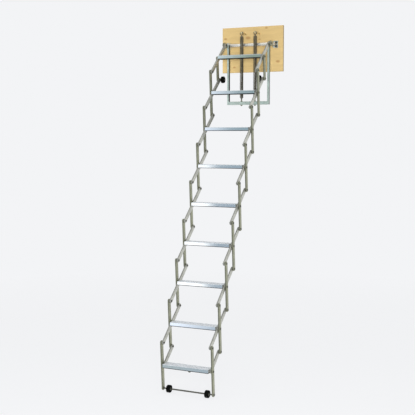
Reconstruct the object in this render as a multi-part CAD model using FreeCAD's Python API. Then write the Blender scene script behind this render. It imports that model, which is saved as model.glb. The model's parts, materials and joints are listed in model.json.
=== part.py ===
"""Concertina loft ladder: pinned bars in lazy-tongs pairs with level treads, hung from a
sprung swing frame on a wall board. Millimetres. The origin is the centre of the board's
back face, +X is to the right, +Y goes into the wall and +Z is up."""
import FreeCAD, Part
import math
import os

# Mounting board
board_width = 480.0
board_height = 330.0
board_thickness = 18.0
board_edge = 1.5

# Lazy-tongs linkage, as it hangs open
tread_count = 9
pivot_spacing = 154.3
outer_bar_lean = 3.64
inner_bar_lean = 48.2
bar_width = 27.0
bar_thickness = 10.0
clear_width = 330.0
bar_gap = 2.4

# Hanging pivot of the top bars
hang_stand_off = 100.0
hang_height = 29.5

# Pivot pins and running clearances
pin_radius = 4.0
head_radius = 7.5
head_height = 4.0
run_gap = 0.3
seat_gap = 0.2

# Treads: ribbed channels with an end plate on each pivot
tread_depth = 68.0
tread_nose = 32.0
tread_height = 24.0
tread_rise = 15.0
tread_wall = 2.5
tread_round_share = 0.75
tread_lip = 9.0
tread_end_plate = 4.0
rib_count = 11
rib_width = 2.2
rib_height = 1.2

# Swing frame
axle_radius = 12.0
axle_height = 30.0
axle_overhang = 4.0
leg_size = 24.0
leg_width = 14.0
leg_wall = 2.0
leg_round = 3.0
leg_stand_off = 59.0
leg_rise = 3.0
frame_drop = 434.5
arm_width = 34.0

# Wall brackets
bracket_thickness = 5.0
bracket_side_gap = 3.5
bracket_flange = 34.0
bracket_height = 50.0
bracket_eye = 17.0

# Balance springs with their pegs and eye bolts
spring_spacing = 106.0
spring_radius = 13.0
spring_wire = 3.2
spring_axle_gap = 1.0
spring_top_gap = 22.0
peg_drop = 50.0
peg_radius = 4.0
peg_flange = 9.0
peg_nose = 6.0
top_loop_wire = 2.5
top_loop_radius = 11.2
low_loop_wire = 1.8
low_loop_radius = 5.5
eye_wire = 2.2
eye_radius = 6.0
eye_neck = 1.0
anchor_radius = 4.0
anchor_tail = 9.0
nut_radius = 8.0
nut_height = 6.0

# Rollers at the top and wheels at the foot
roller_radius = 24.0
roller_width = 20.0
roller_inset = 13.0
spacer_radius = 7.0
wheel_radius = 25.0
wheel_width = 18.0
wheel_inset = 17.0
tyre_edge = 3.0
tyre_depth = 7.0
hub_radius = 11.0
hub_recess = 2.0
rod_radius = 5.0
rod_collar_radius = 8.5
rod_collar_width = 3.0

# Pull eye under the bottom tread
pull_stem_radius = 3.0
pull_stem_length = 8.0
pull_ring_radius = 8.0
pull_ring_wire = 2.4

# Sideways layers, from the treads outwards
inner_bar_in = clear_width / 2
inner_bar_out = inner_bar_in + bar_thickness
outer_bar_in = inner_bar_out + bar_gap
outer_bar_out = outer_bar_in + bar_thickness
bracket_out = outer_bar_in - bracket_side_gap
bracket_in = bracket_out - bracket_thickness
leg_out = bracket_in - bracket_side_gap
leg_in = leg_out - leg_width
tread_end = inner_bar_in - run_gap

# Depths, measured from the wall, and the height of the pegs
board_front = -board_thickness
leg_back = board_front - leg_stand_off
leg_front = leg_back - leg_size
axle_depth = leg_back + axle_radius + seat_gap
spring_depth = leg_back - spring_axle_gap - spring_radius
peg_height = board_height / 2 - peg_drop

UP = FreeCAD.Vector(0, 0, 1)
TO_RIGHT = FreeCAD.Vector(1, 0, 0)
TO_WALL = FreeCAD.Vector(0, 1, 0)
CENTRE = FreeCAD.Vector(0, 0, 0)


def step_down(lean):
    """Depth and height from one pivot to the next along a bar that leans ahead by lean."""
    angle = math.radians(lean)
    return (-pivot_spacing * math.sin(angle), -pivot_spacing * math.cos(angle))


def moved(pivot, step, times=1):
    return (pivot[0] + times * step[0], pivot[1] + times * step[1])


# Pivots as (depth, height) pairs
outer_step = step_down(-outer_bar_lean)
inner_step = step_down(inner_bar_lean)
tread_step = moved(outer_step, inner_step)
hang_pivot = (board_front - hang_stand_off, hang_height)
axle_pivot = (axle_depth, axle_height)


def tread_pivot(k):
    return moved(moved(hang_pivot, inner_step), tread_step, k - 1)


def front_pivot(k):
    return moved(tread_pivot(k), inner_step)


def rear_pivot(k):
    return moved(hang_pivot, tread_step, k)


def point(x, pivot):
    return FreeCAD.Vector(x, pivot[0], pivot[1])


def both_sides(right):
    """The right-hand solid and its mirror image on the left."""
    return [right, right.mirror(CENTRE, TO_RIGHT)]


def save(name, solids):
    for solid in solids:
        if not solid.isValid() or solid.Volume <= 0:
            raise ValueError(name + " is not a sound solid")
    shape = solids[0] if len(solids) == 1 else Part.makeCompound(solids)
    shape.exportStep("parts/" + name + ".step")


def block(x0, x1, y0, y1, z0, z1):
    return Part.makeBox(x1 - x0, y1 - y0, z1 - z0, FreeCAD.Vector(x0, y0, z0))


def rod(radius, x0, x1, pivot):
    return Part.makeCylinder(radius, x1 - x0, point(x0, pivot), TO_RIGHT)


def turned(profile, pivot):
    """A solid turned about the X axis through pivot from (x, radius) points."""
    corners = [FreeCAD.Vector(x, pivot[0] + radius, pivot[1]) for x, radius in profile]
    face = Part.Face(Part.makePolygon(corners + corners[:1]))
    return face.revolve(point(0, pivot), TO_RIGHT, 360)


def slot_plate(first, last, width, x0, x1):
    """A round-ended plate between two pivots, from x0 to x1."""
    run = (last[0] - first[0], last[1] - first[1])
    length = math.hypot(run[0], run[1])
    along = (run[0] / length, run[1] / length)
    half = width / 2
    side = (-along[1] * half, along[0] * half)
    nose = (along[0] * half, along[1] * half)
    corners = [moved(first, side), moved(last, side), moved(last, side, -1), moved(first, side, -1)]
    a, b, c, d = [point(x0, corner) for corner in corners]
    wire = Part.Wire([
        Part.LineSegment(a, b).toShape(),
        Part.Arc(b, point(x0, moved(last, nose)), c).toShape(),
        Part.LineSegment(c, d).toShape(),
        Part.Arc(d, point(x0, moved(first, nose, -1)), a).toShape()])
    return Part.Face(wire).extrude(FreeCAD.Vector(x1 - x0, 0, 0))


def hexagon(centre, across, axis, height):
    """A six-sided head or nut of the given corner radius, from its seat along axis."""
    first = UP if axis.z == 0 else TO_RIGHT
    second = axis.cross(first)
    corners = []
    for i in range(6):
        angle = math.radians(60 * i)
        corners.append(centre + first * (across * math.cos(angle)) + second * (across * math.sin(angle)))
    face = Part.Face(Part.makePolygon(corners + corners[:1]))
    return face.extrude(axis * height)


def pin(pivot, x_end):
    """A bolt in the outer bar that carries what turns on it as far in as x_end."""
    x_seat = x_end - run_gap
    shank = rod(pin_radius, x_seat, outer_bar_out, pivot)
    outer_head = hexagon(point(outer_bar_out, pivot), head_radius, TO_RIGHT, head_height)
    inner_nut = hexagon(point(x_seat, pivot), head_radius, TO_RIGHT * -1, head_height)
    return shank.fuse([outer_head, inner_nut])


def roller_pin(pivot):
    """The longer pin of the first rear pivot, with a spacer beside its roller."""
    roller_out = inner_bar_in - roller_inset
    spacer = rod(spacer_radius, roller_out + run_gap, tread_end, pivot)
    return pin(pivot, roller_out - roller_width).fuse(spacer)


def hole(pivot, radius, x0, x1):
    return rod(radius, x0, x1, pivot)


def pin_hole(pivot):
    return hole(pivot, pin_radius + run_gap, 0, outer_bar_out)


def mounting_board():
    board = block(-board_width / 2, board_width / 2, board_front, 0, -board_height / 2, board_height / 2)
    front_rim = [edge for edge in board.Edges if edge.BoundBox.YMax < board_front / 2]
    return [board.makeChamfer(board_edge, front_rim)]


def wall_brackets():
    """Angle brackets: a flange on the board and an eye for the axle."""
    flange_front = board_front - bracket_thickness
    base_low = axle_height - bracket_height / 2
    base_high = axle_height + bracket_height / 2
    flange = block(bracket_in, bracket_in + bracket_flange, flange_front, board_front, base_low, base_high)
    corners = [(flange_front, base_high), moved(axle_pivot, (0, bracket_eye)),
               moved(axle_pivot, (0, -bracket_eye)), (flange_front, base_low)]
    a, b, c, d = [point(bracket_in, corner) for corner in corners]
    wire = Part.Wire([
        Part.LineSegment(a, b).toShape(),
        Part.Arc(b, point(bracket_in, moved(axle_pivot, (-bracket_eye, 0))), c).toShape(),
        Part.LineSegment(c, d).toShape(),
        Part.LineSegment(d, a).toShape()])
    web = Part.Face(wire).extrude(FreeCAD.Vector(bracket_thickness, 0, 0))
    bracket = flange.fuse(web).removeSplitter()
    return both_sides(bracket.cut(hole(axle_pivot, axle_radius + run_gap, bracket_in, bracket_out)))


def swing_axle():
    end = outer_bar_out + axle_overhang
    return [rod(axle_radius, -end, end, axle_pivot)]


def frame_arms():
    """Plates on the axle ends that carry the pins of the hanging pivot."""
    plate = slot_plate(axle_pivot, hang_pivot, arm_width, outer_bar_in, outer_bar_out)
    plate = plate.cut(hole(axle_pivot, axle_radius + seat_gap, outer_bar_in, outer_bar_out))
    return both_sides(plate.fuse(pin(hang_pivot, inner_bar_in)))


def frame_low():
    return axle_height - frame_drop


def square_tube(x0, x1, z0, z1, along):
    """A round-cornered square tube in the plane of the swing frame, open at both ends."""
    outside = block(x0, x1, leg_front, leg_back, z0, z1)
    lengthwise = []
    for edge in outside.Edges:
        across = edge.tangentAt(edge.FirstParameter).cross(along)
        if not round(across.Length):
            lengthwise.append(edge)
    outside = outside.makeFillet(leg_round, lengthwise)
    if along == UP:
        inside = block(x0 + leg_wall, x1 - leg_wall, leg_front + leg_wall, leg_back - leg_wall, z0, z1)
    else:
        inside = block(x0, x1, leg_front + leg_wall, leg_back - leg_wall, z0 + leg_wall, z1 - leg_wall)
    return outside.cut(inside)


def frame_legs():
    return both_sides(square_tube(leg_in, leg_out, frame_low(), axle_height + leg_rise, UP))


def spring_sides():
    return [-spring_spacing / 2, spring_spacing / 2]


def anchor_hole(x):
    return Part.makeCylinder(anchor_radius + seat_gap, leg_size, spring_point(x, frame_low()), UP)


def frame_bottom_bar():
    bar = square_tube(-leg_in, leg_in, frame_low(), frame_low() + leg_size, TO_RIGHT)
    return [bar.cut([anchor_hole(x) for x in spring_sides()])]


def peg_loop_height():
    """Centre of a spring's top loop, which hangs on its peg."""
    return peg_height + peg_radius + run_gap - (top_loop_radius - top_loop_wire)


def coil_top():
    return peg_loop_height() - spring_top_gap


def eye_height():
    """Centre of an eye bolt's ring, above the upper nut on the bottom bar."""
    return frame_low() + leg_size + nut_height + eye_neck + eye_wire + eye_radius


def low_loop_height():
    """Centre of a spring's low loop, which passes through the ring of its eye bolt."""
    eye_room = math.sqrt((eye_radius - eye_wire) ** 2 - low_loop_wire ** 2)
    loop_room = math.sqrt((low_loop_radius - low_loop_wire) ** 2 - eye_wire ** 2)
    return eye_height() + eye_room + loop_room - run_gap


def coil_low():
    return low_loop_height() + low_loop_radius + low_loop_wire


def spring_length():
    return coil_top() - coil_low()


def ring(radius, wire, centre, axis):
    """A ring of square wire about centre."""
    seat = centre - axis * wire
    outside = Part.makeCylinder(radius + wire, 2 * wire, seat, axis)
    return outside.cut(Part.makeCylinder(radius - wire, 2 * wire, seat, axis))


def spring_point(x, z):
    return FreeCAD.Vector(x, spring_depth, z)


def spring(x):
    """The coil as a tube with closed ends, and a loop on a neck at each end."""
    coil = Part.makeCylinder(spring_radius, spring_length(), spring_point(x, coil_low()), UP)
    hollow = Part.makeCylinder(spring_radius - spring_wire, spring_length() - 2 * spring_wire,
                               spring_point(x, coil_low() + spring_wire), UP)
    top_loop = ring(top_loop_radius, top_loop_wire, spring_point(x, peg_loop_height()), TO_WALL)
    low_loop = ring(low_loop_radius, low_loop_wire, spring_point(x, low_loop_height()), TO_WALL)
    neck_length = peg_loop_height() - top_loop_radius - coil_top()
    top_neck = Part.makeCylinder(top_loop_wire, neck_length, spring_point(x, coil_top()), UP)
    low_neck = Part.makeCylinder(low_loop_wire, low_loop_wire, spring_point(x, coil_low()), UP * -1)
    return [coil.cut(hollow).fuse([top_neck, low_neck, top_loop, low_loop])]


def spring_pegs():
    """Flanged pegs on the board, grooved where the spring loops hang."""
    groove_back = spring_depth + top_loop_wire + seat_gap
    groove_front = spring_depth - top_loop_wire - seat_gap
    nose = groove_front - peg_nose
    flange_front = board_front - bracket_thickness
    rim = peg_radius + top_loop_wire
    profile = [(board_front, 0), (board_front, peg_flange), (flange_front, peg_flange), (flange_front, rim),
               (groove_back, rim), (groove_back, peg_radius), (groove_front, peg_radius),
               (groove_front, rim), (nose, rim), (nose, 0)]
    pegs = []
    for x in spring_sides():
        corners = [FreeCAD.Vector(x + radius, y, peg_height) for y, radius in profile]
        face = Part.Face(Part.makePolygon(corners + corners[:1]))
        pegs.append(face.revolve(FreeCAD.Vector(x, 0, peg_height), TO_WALL, 360))
    return pegs


def spring_anchors():
    """Eye bolts through the bottom bar, with a nut above and below it."""
    anchors = []
    low = frame_low() - anchor_tail
    for x in spring_sides():
        shank_top = eye_height() - eye_radius
        shank = Part.makeCylinder(anchor_radius, shank_top - low, spring_point(x, low), UP)
        eye = ring(eye_radius, eye_wire, spring_point(x, eye_height()), TO_RIGHT)
        upper = hexagon(spring_point(x, frame_low() + leg_size), nut_radius, UP, nut_height)
        lower = hexagon(spring_point(x, frame_low()), nut_radius, UP * -1, nut_height)
        anchors.append(shank.fuse([eye, upper, lower]))
    return anchors


def outer_bars(k):
    """The upright bars of step k, with their pivot pins."""
    first = tread_pivot(1) if k == 1 else front_pivot(k - 1)
    last = rear_pivot(k)
    bar = slot_plate(first, last, bar_width, outer_bar_in, outer_bar_out)
    pins = [pin(tread_pivot(k), tread_end - tread_end_plate)]
    if k > 1:
        pins.append(pin(first, inner_bar_in))
    if k == 1:
        pins.append(roller_pin(last))
    elif k < tread_count:
        pins.append(pin(last, inner_bar_in))
    else:
        bar = bar.cut(hole(last, rod_radius + seat_gap, outer_bar_in, outer_bar_out))
    return both_sides(bar.fuse(pins))


def inner_bars(k):
    """The leaning bars of step k, bored for the pins of the outer bars."""
    first = rear_pivot(k - 1)
    pivots = [first, tread_pivot(k)]
    if k < tread_count:
        pivots.append(front_pivot(k))
    bar = slot_plate(first, pivots[-1], bar_width, inner_bar_in, inner_bar_out)
    return both_sides(bar.cut([pin_hole(pivot) for pivot in pivots]))


def tread(k):
    """A channel tread with a ribbed top, lips under its edges and a plate at each end."""
    y, z = tread_pivot(k)
    front = y - tread_nose
    rear = front + tread_depth
    top = z + tread_rise
    low = top - tread_height
    outline = [(front, low), (front, top)]
    pitch = tread_depth / rib_count
    for i in range(rib_count):
        start = front + (i + 0.5) * pitch - rib_width / 2
        outline += [(start, top), (start, top + rib_height)]
        outline += [(start + rib_width, top + rib_height), (start + rib_width, top)]
    outline += [(rear, top), (rear, low), (rear - tread_lip, low), (rear - tread_lip, low + tread_wall)]
    outline += [(rear - tread_wall, low + tread_wall), (rear - tread_wall, top - tread_wall)]
    outline += [(front + tread_wall, top - tread_wall), (front + tread_wall, low + tread_wall)]
    outline += [(front + tread_lip, low + tread_wall), (front + tread_lip, low)]
    corners = [point(-tread_end, corner) for corner in outline]
    section = Part.Face(Part.makePolygon(corners + corners[:1]))
    channel = section.extrude(FreeCAD.Vector(2 * tread_end, 0, 0))
    noses = [edge for edge in channel.Edges
             if edge.BoundBox.XLength > tread_end and abs(edge.BoundBox.ZMin - top) < tread_wall / 10
             and min(edge.BoundBox.YMin - front, rear - edge.BoundBox.YMax) < tread_wall / 10]
    channel = channel.makeFillet(tread_round_share * (pitch - rib_width) / 2, noses)
    plate = block(tread_end - tread_end_plate, tread_end, front + tread_wall, rear - tread_wall,
                  low, top - tread_wall)
    plates = both_sides(plate.cut(pin_hole((y, z))))
    return [channel.fuse(plates).removeSplitter()]


def wheel(pivot, radius, width, bore, x0):
    """A rubber-tyred roller, dished round its hub."""
    x1 = x0 + width
    rim = radius - tyre_depth
    profile = [(x0, bore), (x0, hub_radius), (x0 + hub_recess, hub_radius), (x0 + hub_recess, rim), (x0, rim),
               (x0, radius - tyre_edge), (x0 + tyre_edge, radius), (x1 - tyre_edge, radius),
               (x1, radius - tyre_edge), (x1, rim), (x1 - hub_recess, rim), (x1 - hub_recess, hub_radius),
               (x1, hub_radius), (x1, bore)]
    return turned(profile, pivot)


def top_roller():
    inner_face = inner_bar_in - roller_inset - roller_width
    return wheel(rear_pivot(1), roller_radius, roller_width, pin_radius + run_gap, inner_face)


def bottom_wheel():
    inner_face = inner_bar_in - wheel_inset - wheel_width
    return wheel(rear_pivot(tread_count), wheel_radius, wheel_width, rod_radius + run_gap, inner_face)


def bottom_rod():
    """The foot rod, with collars beside the bars and the wheels."""
    wheel_out = inner_bar_in - wheel_inset
    wheel_in = wheel_out - wheel_width
    collars = [(wheel_in - run_gap - rod_collar_width, wheel_in - run_gap),
               (wheel_out + run_gap, wheel_out + run_gap + rod_collar_width),
               (outer_bar_in - seat_gap - rod_collar_width, outer_bar_in - seat_gap),
               (outer_bar_out + seat_gap, outer_bar_out + seat_gap + rod_collar_width)]
    steps = []
    for x0, x1 in collars:
        steps += [(x0, rod_radius), (x0, rod_collar_radius), (x1, rod_collar_radius), (x1, rod_radius)]
    steps.pop()
    mirrored = [(-x, radius) for x, radius in steps[::-1]]
    end = steps[-1][0]
    return [turned([(-end, 0)] + mirrored + steps + [(end, 0)], rear_pivot(tread_count))]


def pull_eye():
    """A ring on a stem under the rear lip of the bottom tread."""
    y, z = tread_pivot(tread_count)
    lip = y - tread_nose + tread_depth - tread_lip / 2
    low = z + tread_rise - tread_height
    stem = Part.makeCylinder(pull_stem_radius, pull_stem_length,
                             FreeCAD.Vector(0, lip, low - pull_stem_length), UP)
    centre = FreeCAD.Vector(0, lip, low - pull_stem_length - pull_ring_radius)
    eye = ring(pull_ring_radius, pull_ring_wire, centre, TO_WALL)
    return [stem.fuse(eye)]


def main():
    os.makedirs("parts", exist_ok=True)
    save("mounting_board", mounting_board())
    save("wall_brackets", wall_brackets())
    save("spring_pegs", spring_pegs())
    save("swing_axle", swing_axle())
    save("frame_arms", frame_arms())
    save("frame_legs", frame_legs())
    save("frame_bottom_bar", frame_bottom_bar())
    save("spring_anchors", spring_anchors())
    for x, side in zip(spring_sides(), ["left", "right"]):
        save("spring_" + side, spring(x))
    for k in range(1, tread_count + 1):
        save("outer_bars_" + str(k), outer_bars(k))
        save("inner_bars_" + str(k), inner_bars(k))
        save("tread_" + str(k), tread(k))
    for side, roller in zip(["right", "left"], both_sides(top_roller())):
        save("top_roller_" + side, [roller])
    for side, foot_wheel in zip(["right", "left"], both_sides(bottom_wheel())):
        save("bottom_wheel_" + side, [foot_wheel])
    save("bottom_rod", bottom_rod())
    save("pull_eye", pull_eye())


main()
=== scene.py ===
"""Dresses a concertina loft ladder: zinc-plated lazy-tongs bars, ribbed aluminium treads, balance
springs, swing frame, plywood board and wheels, on a plain studio stage. Sizes are in metres."""
import json
import math

import bmesh
import bpy
from mathutils import Matrix, Vector

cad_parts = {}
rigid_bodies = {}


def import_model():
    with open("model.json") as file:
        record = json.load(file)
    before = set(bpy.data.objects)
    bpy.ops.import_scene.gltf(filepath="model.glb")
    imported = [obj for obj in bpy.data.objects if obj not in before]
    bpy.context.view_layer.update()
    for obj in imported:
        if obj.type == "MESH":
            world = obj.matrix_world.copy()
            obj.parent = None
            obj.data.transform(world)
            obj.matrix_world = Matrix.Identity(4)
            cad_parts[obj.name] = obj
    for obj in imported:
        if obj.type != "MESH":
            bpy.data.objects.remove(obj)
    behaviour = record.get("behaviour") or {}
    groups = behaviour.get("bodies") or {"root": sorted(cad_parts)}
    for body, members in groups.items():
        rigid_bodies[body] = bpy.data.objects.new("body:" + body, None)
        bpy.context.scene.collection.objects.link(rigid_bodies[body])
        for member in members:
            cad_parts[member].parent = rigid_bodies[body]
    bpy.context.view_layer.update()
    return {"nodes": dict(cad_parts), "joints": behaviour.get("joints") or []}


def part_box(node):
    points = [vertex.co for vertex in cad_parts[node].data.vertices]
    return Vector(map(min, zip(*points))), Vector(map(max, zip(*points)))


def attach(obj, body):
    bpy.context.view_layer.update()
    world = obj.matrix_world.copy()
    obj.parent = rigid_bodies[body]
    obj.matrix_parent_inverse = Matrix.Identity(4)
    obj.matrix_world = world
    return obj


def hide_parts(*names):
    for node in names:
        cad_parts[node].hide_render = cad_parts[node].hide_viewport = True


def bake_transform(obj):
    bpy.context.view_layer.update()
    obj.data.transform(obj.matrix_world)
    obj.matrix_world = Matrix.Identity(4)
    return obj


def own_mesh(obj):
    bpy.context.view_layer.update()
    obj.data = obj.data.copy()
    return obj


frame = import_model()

bl_info = {
    "name": "Loft Ladder Dressing",
    "version": (1, 0, 0),
    "blender": (4, 5, 0),
    "location": "View3D > Sidebar > Ladder",
    "description": "Builds the visible pieces and finishes of a concertina loft ladder",
    "category": "Object",
}

# What the frame says about the ladder
JOINTS = {joint["name"]: joint for joint in frame["joints"]}
TREADS = sum(1 for name in frame["nodes"] if name.startswith("tread_"))
SIDES = ("left", "right")
MM = 0.001


def pivot(joint):
    """Place of a joint's axis in the plane X = 0."""
    return Vector(JOINTS[joint]["pos_m"])


def tread_pivot(k):
    return pivot(f"tread_{k}_pivot")


STEP = tread_pivot(2) - tread_pivot(1)
HANG = pivot("fold")
AXLE = pivot("frame_swing")


def rear_pivot(k):
    return HANG + STEP * k


def front_pivot(k):
    return tread_pivot(k) * 2 - rear_pivot(k - 1)


# Places read from the solids: sideways layers of bars and treads, the springs' boxes and the floor
INNER_BAR_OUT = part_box("inner_bars_2")[1].x
TREAD_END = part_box("tread_1")[1].x
SPRING_BOX = {side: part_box("spring_" + side) for side in SIDES}
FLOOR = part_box("bottom_wheel_left")[0].z

# Nuts of the tread bolts stand inside the end plates, and turning pieces have a little shake
NUT_INSET = 4.3 * MM
SHAKE = 0.3 * MM

# Small hardware: eye bolts with their nuts, bracket plate and foot rod
EYE_RADIUS = 6.0 * MM
EYE_WIRE_RADIUS = 2.2 * MM
NUT_RADIUS = 8.0 * MM
NUT_HEIGHT = 6.0 * MM
BRACKET_PLATE = 5.0 * MM
ROD_RADIUS = 5.0 * MM
COLLAR_WIDTH = 3.0 * MM


def size_prop(label, about, default, least):
    """A length that a user may change."""
    return bpy.props.FloatProperty(name=label, description=about, default=default, min=least, unit="LENGTH")


def colour_prop(label, about, default):
    """A finish's colour that a user may change."""
    return bpy.props.FloatVectorProperty(name=label, description=about, default=default, min=0.0, max=1.0,
                                         size=3, subtype="COLOR")


class LadderSizes(bpy.types.PropertyGroup):
    """Sizes of the pieces that are dressed over the solids."""
    bar_width: size_prop("Bar width", "Width of a bar across its flat", 0.027, 0.005)
    bar_thickness: size_prop("Bar thickness", "Thickness of a bar", 0.010, 0.002)
    bar_gap: size_prop("Bar gap", "Gap between inner and outer bars, filled by a washer", 0.0024, 0.0)
    bar_edge: size_prop("Bar edge", "Radius of a bar's rounded edges", 0.0016, 0.0002)
    head_radius: size_prop("Head radius", "Corner radius of a pivot bolt's head", 0.0075, 0.002)
    head_height: size_prop("Head height", "Height of a pivot bolt's head or nut", 0.004, 0.001)
    pin_radius: size_prop("Pin radius", "Radius of a pivot bolt's shank", 0.004, 0.001)
    arm_width: size_prop("Arm width", "Width of the arms on the axle's ends", 0.034, 0.010)
    coil_radius: size_prop("Coil radius", "Outside radius of the balance springs' coils", 0.013, 0.005)
    spring_wire: size_prop("Spring wire", "Diameter of the balance springs' wire", 0.0032, 0.001)
    spring_pitch: size_prop("Spring pitch", "Rise of one turn of a stretched spring", 0.0041, 0.002)
    hook_wire: size_prop("Hook wire", "Diameter of the wire of a spring's low loop", 0.0036, 0.001)
    loop_wire: size_prop("Loop wire", "Diameter of the wire of a spring's top loop", 0.005, 0.001)
    top_loop: size_prop("Top loop", "Radius of the loop that hangs on a peg", 0.0112, 0.002)
    low_loop: size_prop("Low loop", "Radius of the loop in an eye bolt", 0.0055, 0.002)
    hook_drop: size_prop("Hook drop", "Distance from a top loop's centre down to the coil", 0.022, 0.010)


class LadderFinish(bpy.types.PropertyGroup):
    """Colours of the finishes."""
    # Bar zinc also carries painted shade on the bars' front faces and painted light on their sides
    bar_zinc: colour_prop("Bar zinc", "Yellowish zinc plate of the bars", (0.338, 0.346, 0.252))
    # Painted light: the leaning inner bars get a paler copy of the bars' zinc, for the light that they catch
    inner_zinc: colour_prop("Inner zinc", "Paler zinc plate of the leaning inner bars", (0.525, 0.528, 0.475))
    # Frame zinc also carries painted shade on the frame's outer faces and much darker painted shade on its
    # inner faces
    frame_zinc: colour_prop("Frame zinc", "Pale zinc plate of the swing frame", (0.55, 0.64, 0.59))
    bracket_zinc: colour_prop("Bracket zinc", "Bright zinc plate of the axle's brackets", (0.74, 0.80, 0.80))
    axle_zinc: colour_prop("Axle zinc", "Bright zinc plate of the axle", (0.86, 0.82, 0.75))
    bolt_zinc: colour_prop("Bolt zinc", "Dark zinc plate of bolts and nuts", (0.125, 0.125, 0.105))
    peg_zinc: colour_prop("Peg zinc", "Yellow zinc plate of the spring pegs", (0.74, 0.62, 0.36))
    aluminium: colour_prop("Aluminium", "Mill-finish aluminium of the treads", (0.80, 0.83, 0.86))
    spring_steel: colour_prop("Spring steel", "Dark oiled steel of the springs", (0.125, 0.117, 0.088))
    rubber: colour_prop("Rubber", "Black rubber of the wheels", (0.003, 0.0033, 0.003))
    plywood: colour_prop("Plywood", "Bare face veneer of the board", (0.67, 0.490, 0.222))
    backdrop: colour_prop("Backdrop", "Pale ground behind the ladder", (0.896, 0.904, 0.921))


# Small builders for nodes

class NodeTree:
    """A node tree under construction: nodes are added by type, with values or links for their sockets."""

    def __init__(self, tree):
        self.tree = tree

    def add(self, kind, sockets=None, **settings):
        node = self.tree.nodes.new(kind)
        for key, value in settings.items():
            setattr(node, key, value)
        for key, value in (sockets or {}).items():
            self.put(node.inputs[key], value)
        return node

    def put(self, socket, value):
        if isinstance(value, bpy.types.NodeSocket):
            self.tree.links.new(value, socket)
        else:
            socket.default_value = value

    def math(self, operation, first, second=0.0):
        return self.add("ShaderNodeMath", {0: first, 1: second}, operation=operation).outputs["Value"]

    def vector(self, x=0.0, y=0.0, z=0.0):
        return self.add("ShaderNodeCombineXYZ", {"X": x, "Y": y, "Z": z}).outputs["Vector"]


class Shader(NodeTree):
    """A material under construction, with a Principled surface."""

    def __init__(self, name):
        self.material = bpy.data.materials.new(name)
        self.material.use_nodes = True
        super().__init__(self.material.node_tree)
        self.surface = self.tree.nodes["Principled BSDF"]

    def set(self, **sockets):
        """Values or links for the surface's own sockets."""
        for key, value in sockets.items():
            self.put(self.surface.inputs[key.replace("_", " ")], value)

    def show(self, shown):
        """Puts another surface in the Principled one's place."""
        self.put(self.tree.nodes["Material Output"].inputs["Surface"], shown)

    def coords(self, kind="Object"):
        return self.add("ShaderNodeTexCoord").outputs[kind]

    def place(self, scale=(1, 1, 1)):
        """Object coordinates, stretched."""
        return self.add("ShaderNodeMapping", {"Vector": self.coords(), "Scale": scale}).outputs["Vector"]

    def split(self, vector):
        """The X, Y and Z of a vector."""
        return self.add("ShaderNodeSeparateXYZ", {"Vector": vector}).outputs

    def noise(self, vector, scale, detail=3.0, roughness=0.5):
        node = self.add("ShaderNodeTexNoise", {"Vector": vector, "Scale": scale, "Detail": detail,
                                               "Roughness": roughness})
        return node.outputs["Fac"]

    def ramp(self, factor, stops):
        """Colours at given places along a factor."""
        node = self.add("ShaderNodeValToRGB", {"Fac": factor})
        elements = node.color_ramp.elements
        while len(elements) < len(stops):
            elements.new(0.5)
        for element, (place, colour) in zip(elements, stops):
            element.position = place
            element.color = (*colour, 1.0)
        return node.outputs["Color"]

    def span(self, factor, low, high, start=0.0, stop=1.0):
        """A factor mapped from start..stop onto low..high."""
        node = self.add("ShaderNodeMapRange", {"Value": factor, "From Min": start, "From Max": stop,
                                               "To Min": low, "To Max": high})
        return node.outputs["Result"]

    def mix(self, factor, first, second, blend="MIX"):
        node = self.add("ShaderNodeMix", data_type="RGBA", blend_type=blend)
        for name, value in (("Factor", factor), ("A", first), ("B", second)):
            socket = [s for s in node.inputs if s.name == name and s.enabled][0]
            if isinstance(value, tuple):
                value = (*value, 1.0)
            self.put(socket, value)
        return [s for s in node.outputs if s.enabled][0]

    def times(self, first, second):
        return self.mix(1.0, first, second, "MULTIPLY")

    def bump(self, height, strength, distance):
        node = self.add("ShaderNodeBump", {"Height": height, "Strength": strength, "Distance": distance})
        self.put(self.surface.inputs["Normal"], node.outputs["Normal"])


# Painted shade and light on zinc: multipliers for front, outer and inner faces, how far a face looks outwards
# or inwards to be one of them, and roughness from the smoothest to the dullest spots
NO_PAINTED_SHADE = (1.0, 1.0, 1.0)
BAR_PAINTED_SHADES = (0.56, 1.05, 1.05)
FRAME_PAINTED_SHADES = (1.0, 0.46, 0.10)
OUTWARDS = (0.55, 0.85)
INWARDS = (-0.85, -0.55)
DULL_ZINC = (0.30, 0.48)
BRIGHT_ZINC = (0.14, 0.24)

# Painted shade along the lower edge of a tread, underside included, and its trodden ribs
LOW_EDGE_SHADE_HEIGHT = 4.5 * MM
LOW_EDGE_SHADE_SOLID = 0.8
LOW_EDGE_PAINTED_SHADE = 0.03
RIB_HEIGHT = 1.2 * MM
TRODDEN_SHADE = 0.85
TRODDEN_METAL = 0.35
TRODDEN_DULLING = 0.15

# Knots of the board as shares of its width and height, with a radius, then their look and the grain's run
KNOTS = ((0.43, 0.76, 0.011), (0.92, 0.22, 0.009), (0.05, 0.76, 0.007), (0.73, 0.96, 0.006),
         (0.20, 0.12, 0.006), (0.62, 0.72, 0.005))
KNOT_BROWN = (0.32, 0.14, 0.045)
KNOT_DEPTH = 0.6
KNOT_CORE = 0.55
KNOT_RIM = 1.3
KNOT_SQUEEZE = (0.55, 1.0, 1.0)
KNOT_REACH = 6.0
KNOT_PULL = 20.0 * MM
GRAIN_WAVER = 35.0 * MM
GRAIN_STRETCH = 0.06

# A painted gradient of light over the board's face, lighter at its low left corner, where the ladder's shade
# falls, and slowly darker towards its top right one; how squarely a face looks to the front or back to show
# the face, and the board's ply count
PAINTED_LIGHT_SLANT = 0.25
PAINTED_LIGHT_TONES = (1.08, 0.92)
FACE_ON = (0.5, 0.6)
PLIES = 9


def tinted(colour, factor):
    return tuple(channel * factor for channel in colour)


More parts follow.
